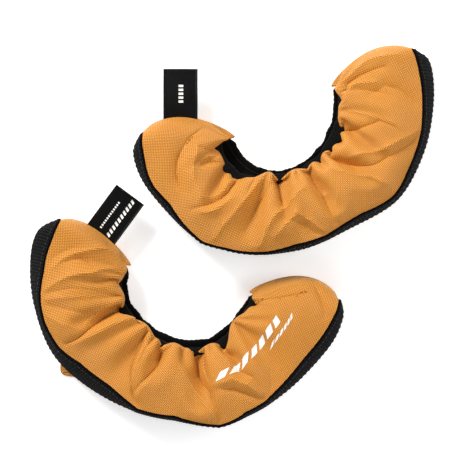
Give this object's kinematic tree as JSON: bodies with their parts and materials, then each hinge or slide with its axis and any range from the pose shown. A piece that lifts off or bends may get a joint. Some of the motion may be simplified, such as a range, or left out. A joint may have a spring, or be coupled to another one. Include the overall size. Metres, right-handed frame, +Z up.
{
  "type": "skate blade guards",
  "caption": "Pair of soft crescent skate blade guards, gathered cloth pouches with a webbing sole, an elastic mouth and a ribbon label, lying on their sides.",
  "frame": {"origin": "centre of the pair's bounding box, on the surface that the guards lie on", "axes": "+X along the pair's longest side in plan, +Y across it, +Z up from the surface that they lie on"},
  "size_m": [0.2446, 0.2279, 0.0295],
  "materials": {
    "orange_cloth": "woven polyester, slight sheen, creased by its gathers",
    "black_terry": "soft brushed lining",
    "black_webbing": "heavy ribbed webbing, matte",
    "absorbent_pad": "needled absorbent felt",
    "black_binding": "knitted binding gathered over elastic",
    "white_elastic": "flat woven elastic, hidden in its casing",
    "black_thread": "polyester sewing thread",
    "black_satin": "woven satin ribbon",
    "white_print": "screen printed ink"
  },
  "bodies": {
    "left_mid": {"left_shell_front_mid": "orange_cloth", "left_shell_back_mid": "orange_cloth", "left_lining_mid": "black_terry", "left_sole_web_mid": "black_webbing", "left_sole_pad_mid": "absorbent_pad", "left_collar_mid": "black_binding", "left_elastic_mid": "white_elastic", "left_sole_stitch_mid": "black_thread"},
    "left_heel": {"left_shell_front_heel": "orange_cloth", "left_shell_back_heel": "orange_cloth", "left_lining_heel": "black_terry", "left_sole_web_heel": "black_webbing", "left_sole_pad_heel": "absorbent_pad", "left_collar_heel": "black_binding", "left_elastic_heel": "white_elastic", "left_sole_stitch_heel": "black_thread", "left_label_tab": "black_satin"},
    "left_toe": {"left_shell_front_toe": "orange_cloth", "left_shell_back_toe": "orange_cloth", "left_lining_toe": "black_terry", "left_sole_web_toe": "black_webbing", "left_sole_pad_toe": "absorbent_pad", "left_collar_toe": "black_binding", "left_elastic_toe": "white_elastic", "left_sole_stitch_toe": "black_thread", "left_print": "white_print"},
    "left_label": {"left_label_loop": "black_satin"},
    "right_mid": {"right_shell_front_mid": "orange_cloth", "right_shell_back_mid": "orange_cloth", "right_lining_mid": "black_terry", "right_sole_web_mid": "black_webbing", "right_sole_pad_mid": "absorbent_pad", "right_collar_mid": "black_binding", "right_elastic_mid": "white_elastic", "right_sole_stitch_mid": "black_thread"},
    "right_heel": {"right_shell_front_heel": "orange_cloth", "right_shell_back_heel": "orange_cloth", "right_lining_heel": "black_terry", "right_sole_web_heel": "black_webbing", "right_sole_pad_heel": "absorbent_pad", "right_collar_heel": "black_binding", "right_elastic_heel": "white_elastic", "right_sole_stitch_heel": "black_thread", "right_label_tab": "black_satin"},
    "right_toe": {"right_shell_front_toe": "orange_cloth", "right_shell_back_toe": "orange_cloth", "right_lining_toe": "black_terry", "right_sole_web_toe": "black_webbing", "right_sole_pad_toe": "absorbent_pad", "right_collar_toe": "black_binding", "right_elastic_toe": "white_elastic", "right_sole_stitch_toe": "black_thread"},
    "right_label": {"right_label_loop": "black_satin"}
  },
  "joints": [
    {"name": "left_heel_flex", "type": "hinge", "parent": "left_mid", "child": "left_heel", "pos_m": [-0.1071, -0.0756, 0.0148], "axis": [0, 0, 1], "range_deg": [0, 45], "stiffness_Nm_per_rad": 0.4},
    {"name": "left_toe_flex", "type": "hinge", "parent": "left_mid", "child": "left_toe", "pos_m": [0.0002, -0.113, 0.0148], "axis": [0, 0, -1], "range_deg": [0, 45], "stiffness_Nm_per_rad": 0.4},
    {"name": "left_label_flap", "type": "hinge", "parent": "left_heel", "child": "left_label", "pos_m": [-0.0781, 0.001, 0.012], "axis": [0.8051, -0.5931, 0], "range_deg": [-15, 40], "stiffness_Nm_per_rad": 0.01},
    {"name": "right_guard_lift", "type": "slide", "parent": "left_mid", "child": "right_mid", "axis": [0, 0, 1], "range_m": [0, 0.12]},
    {"name": "right_heel_flex", "type": "hinge", "parent": "right_mid", "child": "right_heel", "pos_m": [-0.0287, 0.0033, 0.0148], "axis": [0, 0, 1], "range_deg": [0, 14], "stiffness_Nm_per_rad": 0.4},
    {"name": "right_toe_flex", "type": "hinge", "parent": "right_mid", "child": "right_toe", "pos_m": [0.1007, 0.0206, 0.0148], "axis": [0, 0, -1], "range_deg": [0, 45], "stiffness_Nm_per_rad": 0.4},
    {"name": "right_label_flap", "type": "hinge", "parent": "right_heel", "child": "right_label", "pos_m": [-0.0309, 0.0709, 0.012], "axis": [1, 0, 0], "range_deg": [-15, 40], "stiffness_Nm_per_rad": 0.01}
  ]
}
